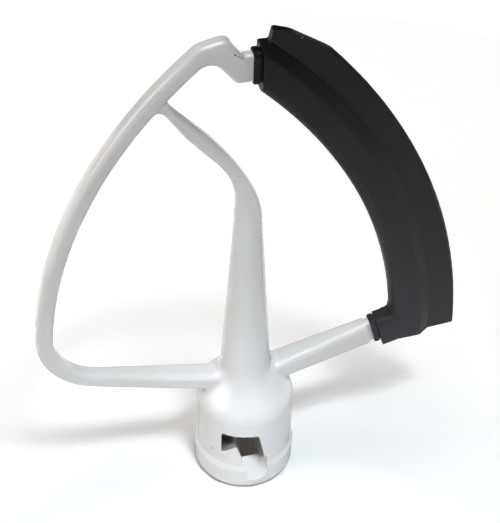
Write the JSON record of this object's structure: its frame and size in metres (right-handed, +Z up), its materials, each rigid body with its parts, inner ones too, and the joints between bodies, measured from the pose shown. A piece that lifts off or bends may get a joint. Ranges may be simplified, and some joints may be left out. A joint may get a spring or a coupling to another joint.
{
  "type": "stand mixer flat beater",
  "caption": "Flat beater for a stand mixer: white-coated cast frame with a bayonet hub, and a dark flexible scraping edge moulded along one side.",
  "frame": {"origin": "centre of the hub's mouth, on the axis of the shaft bore", "axes": "+Z up from the mouth along the post, +X towards the flexible edge, the bayonet slot faces -Y"},
  "size_m": [0.1389, 0.0336, 0.172],
  "materials": {
    "white_coat": "gloss",
    "flexible_edge": "satin"
  },
  "bodies": {
    "root": {"cast_frame": "white_coat", "flex_edge": "flexible_edge"}
  },
  "joints": []
}
